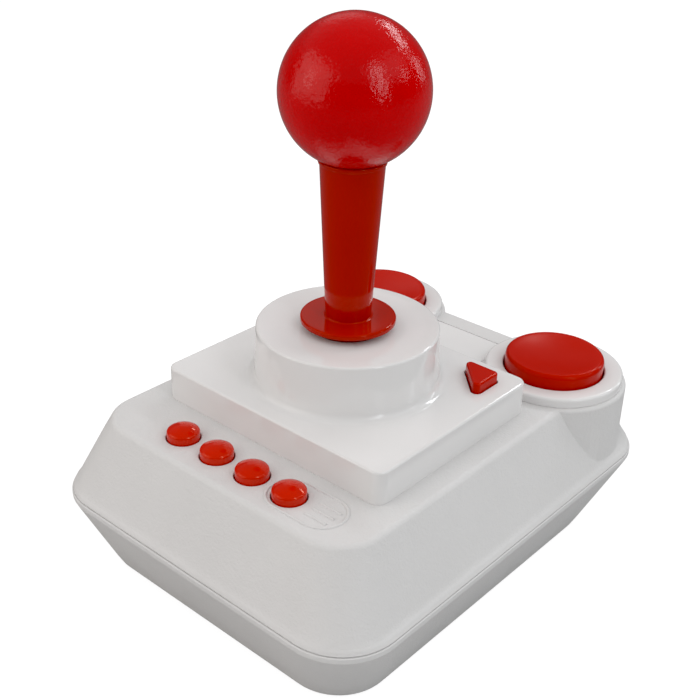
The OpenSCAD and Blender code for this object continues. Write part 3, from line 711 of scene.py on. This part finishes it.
def triangle_solid(name, side, grow, z0, z1, crown=0.0):
    """Prism of the triangular button's outline; crown rounds its top edge."""
    _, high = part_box("triangle_button_right")
    flange = TRIANGLE_FLANGE
    leg = 10.8 * MM
    cx, cy = high.x - flange, high.y - flange
    r = 1.2 * MM
    k = r * (1 + math.sqrt(2))
    tips = ((cx - r, cy - r, 0, 90), (cx - leg + k, cy - r, 90, 225), (cx - r, cy - leg + k, 225, 360))

    def ring(g, z, steps=12):
        points = []
        for x, y, a0, a1 in tips:
            for i in range(steps + 1):
                a = math.radians(a0 + (a1 - a0) * i / steps)
                points.append(Vector((side * (x + (r + g) * math.cos(a)), y + (r + g) * math.sin(a), z)))
        return points[::side]

    if not crown:
        rings = [ring(grow, z0), ring(grow, z1)]
    else:
        rings = [ring(grow, z0), ring(grow, z1 - crown - 0.3 * MM)]
        for i in range(7):
            a = math.radians(15 * i)
            rings.append(ring(grow - crown * (1 - math.cos(a)), z1 - crown * (1 - math.sin(a))))
        rings.append(ring(grow - crown - 0.15 * MM, z1))
    return loft(name, rings)


def make_bezel():
    """Glossy ring on a turret, with its guide sleeve."""
    bore = 13.5 * MM
    sleeve = 15 * MM
    top = bezel_high.z
    e = 0.8 * MM
    profile = [(bore, bezel_low.z), (sleeve, bezel_low.z), (sleeve, CASE_TOP)]
    profile += [(BEZEL_R - 0.1 * MM, CASE_TOP), (BEZEL_R, CASE_TOP + 0.1 * MM)]
    profile += arc(BEZEL_R - e, top - e, e, 0, 90, 8)
    profile += [(bore + 1.2 * MM, top)] + arc(bore + 0.5 * MM, top - 0.5 * MM, 0.5 * MM, 90, 180, 6)
    bezel = lathe("button_bezel_right_visual", profile, FIRE)
    finish_shading(bezel)
    twin = mirrored(bezel, "button_bezel_left_visual")
    place(bezel, "housing", GLOSS, "deck_plastic", "button_bezel_right")
    place(twin, "housing", GLOSS, "deck_plastic", "button_bezel_left")


# ---------------------------------------------------------------- buttons

def make_fire_buttons():
    """Large round buttons: rounded rim, dished top, hollow underneath with a stem."""
    top = fire_high.z
    r = 13.15 * MM
    rim = 1.3 * MM
    dish = 0.9 * MM
    low = fire_low.z
    crown = top - 2.8 * MM  # underside of the top
    flange = 1.1 * MM
    stem = 2.6 * MM
    skirt = r - 1.6 * MM  # inner radius of its wall
    flange_low, flange_top = 36.8 * MM, 38 * MM
    e = 0.3 * MM
    profile = [(0, low), (stem - e, low), (stem, low + e), (stem, crown), (skirt, crown)]
    profile += [(skirt, flange_low), (r + flange, flange_low), (r + flange, flange_top), (r, flange_top)]
    profile += arc(r - rim, top - rim, rim, 0, 75, 9)
    inner_r = r - rim - 0.6 * MM
    start = 0.12 * MM  # depth at the dish's edge
    for i in range(10):
        t = i / 9
        profile.append((inner_r * (1 - t), top - start - (dish - start) * (1 - (1 - t) ** 2)))
    button = lathe("fire_button_right_visual", profile, FIRE)
    finish_shading(button, 40)
    twin = mirrored(button, "fire_button_left_visual")
    place(button, "fire_right", BUTTON, "button_red", "fire_button_right")
    place(twin, "fire_left", BUTTON, "button_red", "fire_button_left")


def make_triangle_buttons():
    """Triangular buttons with a soft top edge, a flange under the deck and a short stem."""
    low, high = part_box("triangle_button_right")
    flange_low, flange_top = 48.1 * MM, 49.3 * MM
    stem_r = 1.6 * MM
    stem_top = flange_low + 0.2 * MM
    inset = 4.5 * MM  # of the stem from the button's corner
    for side, word in ((1, "right"), (-1, "left")):
        cap = triangle_solid(f"triangle_button_{word}_visual", side, 0, flange_top, high.z, 0.6 * MM)
        flange = triangle_solid("flange", side, TRIANGLE_FLANGE, flange_low, flange_top)
        centre = Vector((side * (high.x - inset), high.y - inset, 0))
        stem = lathe("stem", [(0, low.z), (stem_r, low.z), (stem_r, stem_top), (0, stem_top)], centre, 32)
        join(cap, [flange, stem])
        finish_shading(cap, 40)
        place(cap, f"triangle_{word}", BUTTON, "button_red", f"triangle_button_{word}")


def make_small_buttons():
    """Small domed buttons with a flange under the case's top."""
    r = SMALL_R
    dome = 6.7 * MM
    shoulder = 0.9 * MM
    flange = r + 0.9 * MM
    stem = 2 * MM
    rise = math.sqrt((dome - shoulder) ** 2 - (r - shoulder) ** 2)  # shoulder's centre above the dome's
    meet = math.degrees(math.atan2(rise, r - shoulder))
    for i in range(4):
        name = f"front_button_{i + 1}"
        low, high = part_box(name)
        flange_low, flange_top = low.z + 1 * MM, low.z + 2.1 * MM
        profile = [(0, low.z), (stem, low.z), (stem, flange_low), (flange, flange_low)]
        profile += [(flange, flange_top), (r, flange_top)]
        profile += arc(r - shoulder, high.z - dome + rise, shoulder, 0, meet, 8)
        profile += arc(0, high.z - dome, dome, meet, 90, 14)[1:-1] + [(0, high.z)]
        button = lathe(f"{name}_visual", profile, (low + high) / 2, 96)
        finish_shading(button, 40)
        place(button, f"front_{i + 1}", SMALL, "small_button_red", name)


# ---------------------------------------------------------------- stick

def make_ball():
    """Ball knob with a flat seat for the sleeve and a bore for the shaft and its insert."""
    bore = 5 * MM
    seat = 8.0 * MM
    seat_angle = math.asin(seat / BALL_R)
    steps = 72
    profile = [(0, BALL_Z + BALL_R)]
    for i in range(1, steps + 1):
        a = (math.pi - seat_angle) * i / steps
        profile.append((BALL_R * math.sin(a), BALL_Z + BALL_R * math.cos(a)))
    bore_top = BALL_Z + 5 * MM
    profile += [(bore, ball_low.z + 0.02 * MM), (bore, bore_top), (0, bore_top)]
    ball = lathe("ball_knob_visual", profile, STICK)
    finish_shading(ball, 40)
    place(ball, "stick", BALL, "ball_red", "ball_knob")


def make_sleeve():
    """Tapered sleeve with the flange at its foot, flaring a little where it meets the ball."""
    bore = 4.03 * MM
    boss = 7.5 * MM
    flange_r = (sleeve_high.x - sleeve_low.x) / 2
    flange_top = 68.15 * MM
    flange_low = flange_top - 1.45 * MM
    rim = 0.5 * MM
    foot = 0.3 * MM
    neck = 5.7 * MM
    head = 8.0 * MM
    head_z = BALL_Z - 15.75 * MM
    profile = [(bore, sleeve_low.z), (boss, sleeve_low.z), (boss, flange_low)]
    profile += arc(flange_r - foot, flange_low + foot, foot, -90, 0, 5)
    profile += arc(flange_r - rim, flange_top - rim, rim, 0, 90, 8)
    profile += [(flange_r - 1.4 * MM, flange_top)]
    fillet = 0.5 * MM
    profile += arc(neck + fillet, flange_top + fillet, fillet, 270, 180, 8)
    taper_top = head_z - 1.2 * MM
    base = flange_top + fillet
    for i in range(1, 9):
        t = i / 8
        profile.append((neck + (head - 0.25 * MM - neck) * t, base + (taper_top - base) * t))
    lip = 0.4 * MM  # bead that closes on the ball
    profile += [(head, head_z - 0.9 * MM), (head + 0.05 * MM, head_z - 0.75 * MM)]
    profile += arc(head + 0.15 * MM - lip, head_z - 0.3 * MM, lip, -30, 75, 10) + [(bore, head_z)]
    sleeve = lathe("stick_sleeve_visual", profile, STICK)
    finish_shading(sleeve, 40)
    place(sleeve, "stick", SLEEVE, "sleeve_red", "stick_sleeve")


# ---------------------------------------------------------------- springs

def coil(name, node, turns, wire, short=0.0):
    """Coil spring that fills the CAD spring's box, less short at its upper end."""
    low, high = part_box(node)
    centre = (low + high) / 2
    r = (high.x - low.x) / 2 - wire
    steps = 36  # a turn
    sides = 10
    count = turns * steps
    climb = (high.z - short - low.z - 2 * wire) / count
    rings = []
    for i in range(count + 1):
        turned = TURN * i / steps
        spoke = Vector((math.cos(turned), math.sin(turned), 0))
        base = Vector((centre.x, centre.y, low.z + wire + climb * i))
        ring = []
        for k in range(sides):
            a = TURN * k / sides
            ring.append(base + spoke * (r + wire * math.cos(a)) + Vector((0, 0, wire * math.sin(a))))
        rings.append(ring)
    obj = loft(name, rings)
    finish_shading(obj, 60)
    return place(obj, "housing", STEEL, "spring_steel", node)


def make_springs():
    """Fire button springs, each with a mesh of its own, and the centring spring, clear of the tilting hub.
    """
    for side in ("left", "right"):
        node = f"fire_button_spring_{side}"
        spring = coil(f"{node}_visual", node, 7, 0.4 * MM)
        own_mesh(spring)
    clearance = 0.95 * MM  # from the hub at rest, which its tilt takes up
    coil("centring_spring_visual", "centring_spring", 5, 0.6 * MM, clearance)


# ---------------------------------------------------------------- CAD nodes that stay

KEPT = {
    "black_plastic": BLACK,
    "natural_plastic": NATURAL,
    "steel": STEEL,
    "spring_steel": STEEL,
    "brass_insert": BRASS,
    "circuit_board": BOARD,
    "silicone": SILICONE,
    "ribbon_grey": RIBBON,
    "foot_rubber": RUBBER,
    "bush_rubber": RUBBER,
}


def dress_cad_nodes():
    """Gives every CAD node that still shows the material of its slot."""
    slots = {s["node"]: s["material_slot"] for s in frame["record"]["subparts"]}
    for name, obj in frame["nodes"].items():
        if obj.hide_render:
            continue
        obj.data.materials.clear()
        obj.data.materials.append(KEPT[slots[name]])


# ---------------------------------------------------------------- floor, light and camera

def make_floor():
    """Pale floor under everything."""
    bm = bmesh.new()
    bmesh.ops.create_grid(bm, x_segments=1, y_segments=1, size=3)
    mesh = bpy.data.meshes.new("floor")
    bm.to_mesh(mesh)
    bm.free()
    floor = add_object("floor", mesh)
    mat, tree, shader, _ = material("floor")
    shader.inputs["Roughness"].default_value = 0.9
    shader.inputs["Specular IOR Level"].default_value = 0.1
    pale = tree.nodes.new("ShaderNodeBsdfDiffuse")  # what the camera sees: white with a faint contact shadow
    pale.inputs["Color"].default_value = (FLOOR_GREY, FLOOR_GREY, FLOOR_GREY, 1)
    glow = tree.nodes.new("ShaderNodeEmission")
    glow.inputs["Strength"].default_value = FLOOR_GLOW
    seen = tree.nodes.new("ShaderNodeAddShader")
    tree.links.new(pale.outputs["BSDF"], seen.inputs[0])
    tree.links.new(glow.outputs["Emission"], seen.inputs[1])
    path = tree.nodes.new("ShaderNodeLightPath")
    lit = (FLOOR_BOUNCE,) * 3
    dimmed = (FLOOR_BOUNCE * REFLECTED,) * 3
    bounce = mix_colours(tree, path.outputs["Is Glossy Ray"], lit, dimmed)
    tree.links.new(bounce, shader.inputs["Base Color"])
    choose = tree.nodes.new("ShaderNodeMixShader")
    tree.links.new(path.outputs["Is Camera Ray"], choose.inputs["Fac"])
    tree.links.new(shader.outputs["BSDF"], choose.inputs[1])
    tree.links.new(seen.outputs["Shader"], choose.inputs[2])
    output = next(n for n in tree.nodes if n.type == "OUTPUT_MATERIAL")
    tree.links.new(choose.outputs["Shader"], output.inputs["Surface"])
    floor.data.materials.append(mat)


def area_light(name, azimuth, elevation, distance, width, height, power, colour):
    """Soft light that looks at the object from azimuth and elevation in degrees."""
    data = bpy.data.lights.new(name, "AREA")
    data.shape = "RECTANGLE"
    data.size = width
    data.size_y = height
    data.energy = power
    data.color = colour
    light = bpy.data.objects.new(name, data)
    bpy.context.scene.collection.objects.link(light)
    a, e = math.radians(azimuth), math.radians(elevation)
    aim = STICK + Vector((0, 0, 50 * MM))
    out = Vector((math.sin(a) * math.cos(e), -math.cos(a) * math.cos(e), math.sin(e)))
    light.location = aim + out * distance
    light.rotation_euler = out.to_track_quat("Z", "Y").to_euler()


def make_world():
    """White backdrop up to some height, with a greyer ceiling above it."""
    world = bpy.data.worlds.new("world")
    bpy.context.scene.world = world
    world.use_nodes = True
    tree = world.node_tree
    back = next(n for n in tree.nodes if n.type == "BACKGROUND")
    coords = tree.nodes.new("ShaderNodeTexCoord")
    split = tree.nodes.new("ShaderNodeSeparateXYZ")
    ramp = tree.nodes.new("ShaderNodeValToRGB")
    path = tree.nodes.new("ShaderNodeLightPath")
    choose = tree.nodes.new("ShaderNodeMix")
    choose.data_type = "RGBA"
    tree.links.new(coords.outputs["Generated"], split.inputs["Vector"])
    tree.links.new(split.outputs["Z"], ramp.inputs["Fac"])
    dim = tree.nodes.new("ShaderNodeMix")  # the room that shows in reflections is darker than its fill light
    dim.data_type = "RGBA"
    dim.blend_type = "MULTIPLY"
    dim.inputs["B"].default_value = (REFLECTED, REFLECTED, REFLECTED, 1)
    tree.links.new(path.outputs["Is Glossy Ray"], dim.inputs["Factor"])
    tree.links.new(ramp.outputs["Color"], dim.inputs["A"])
    tree.links.new(path.outputs["Is Camera Ray"], choose.inputs["Factor"])
    tree.links.new(dim.outputs["Result"], choose.inputs["A"])
    choose.inputs["B"].default_value = (1, 1, 1, 1)
    tree.links.new(choose.outputs["Result"], back.inputs["Color"])
    stops = ((0.0, BACKDROP), (0.34, BACKDROP), (0.46, CEILING), (1.0, CEILING))
    elements = ramp.color_ramp.elements
    while len(elements) < len(stops):
        elements.new(0.5)
    for element, (place_on_ramp, level) in zip(elements, stops):
        element.position = place_on_ramp
        element.color = (level, level, level, 1)


def make_lights():
    """Soft lights round the object: angles in degrees, then distance, width and height in metres."""
    area_light("window", 81, 30, 0.8, 0.13, 0.6, WINDOW_POWER, COOL)
    area_light("pane", 127, 26, 0.9, 0.09, 0.14, PANE_POWER, COOL)
    area_light("side", 100, 40, 0.9, 1.0, 0.5, SIDE_POWER, COOL)
    area_light("back", 180, 39, 0.9, 0.54, 0.08, BACK_POWER, COOL)
    area_light("back_side", 160, 17, 0.9, 0.08, 0.36, BACK_SIDE_POWER, COOL)
    area_light("far", -131, 31, 0.9, 0.3, 0.3, FAR_POWER, COOL)
    area_light("front", -32, 22, 0.9, 1.05, 0.8, FRONT_POWER, WARM)
    area_light("strip", -33, 24, 0.8, 0.07, 0.25, STRIP_POWER, WARM)


def make_camera():
    """Camera at the viewing angle of the real object's picture."""
    azimuth, elevation, roll = 41.57, 28.04, 1.18
    distance = 284.2 * MM
    data = bpy.data.cameras.new("camera")
    data.lens = 58.31
    data.sensor_width = 36
    data.shift_x = 0.0322
    data.shift_y = -0.0076
    data.clip_start = 0.01
    data.clip_end = 20
    camera = bpy.data.objects.new("camera", data)
    bpy.context.scene.collection.objects.link(camera)
    turn = (
        Matrix.Rotation(math.radians(azimuth), 4, "Z")
        @ Matrix.Rotation(math.radians(90 - elevation), 4, "X")
        @ Matrix.Rotation(math.radians(roll), 4, "Z")
    )
    aim = STICK + Vector((-3.7, -3.28, 59.42)) * MM
    camera.matrix_world = Matrix.Translation(aim + turn.to_3x3() @ Vector((0, 0, distance))) @ turn
    bpy.context.scene.camera = camera


def set_view():
    """Plain view transform with slightly deeper blacks."""
    settings = bpy.context.scene.view_settings
    settings.view_transform = "Standard"
    settings.use_curve_mapping = True
    settings.curve_mapping.black_level = (BLACK_LEVEL, BLACK_LEVEL, BLACK_LEVEL)
    settings.curve_mapping.update()


make_camera()
set_view()
make_world()
make_lights()
make_floor()
make_bottom_shell()
make_top_shell()
make_menu_outline()
make_deck()
make_bezel()
make_fire_buttons()
make_triangle_buttons()
make_small_buttons()
make_ball()
make_sleeve()
make_springs()
dress_cad_nodes()
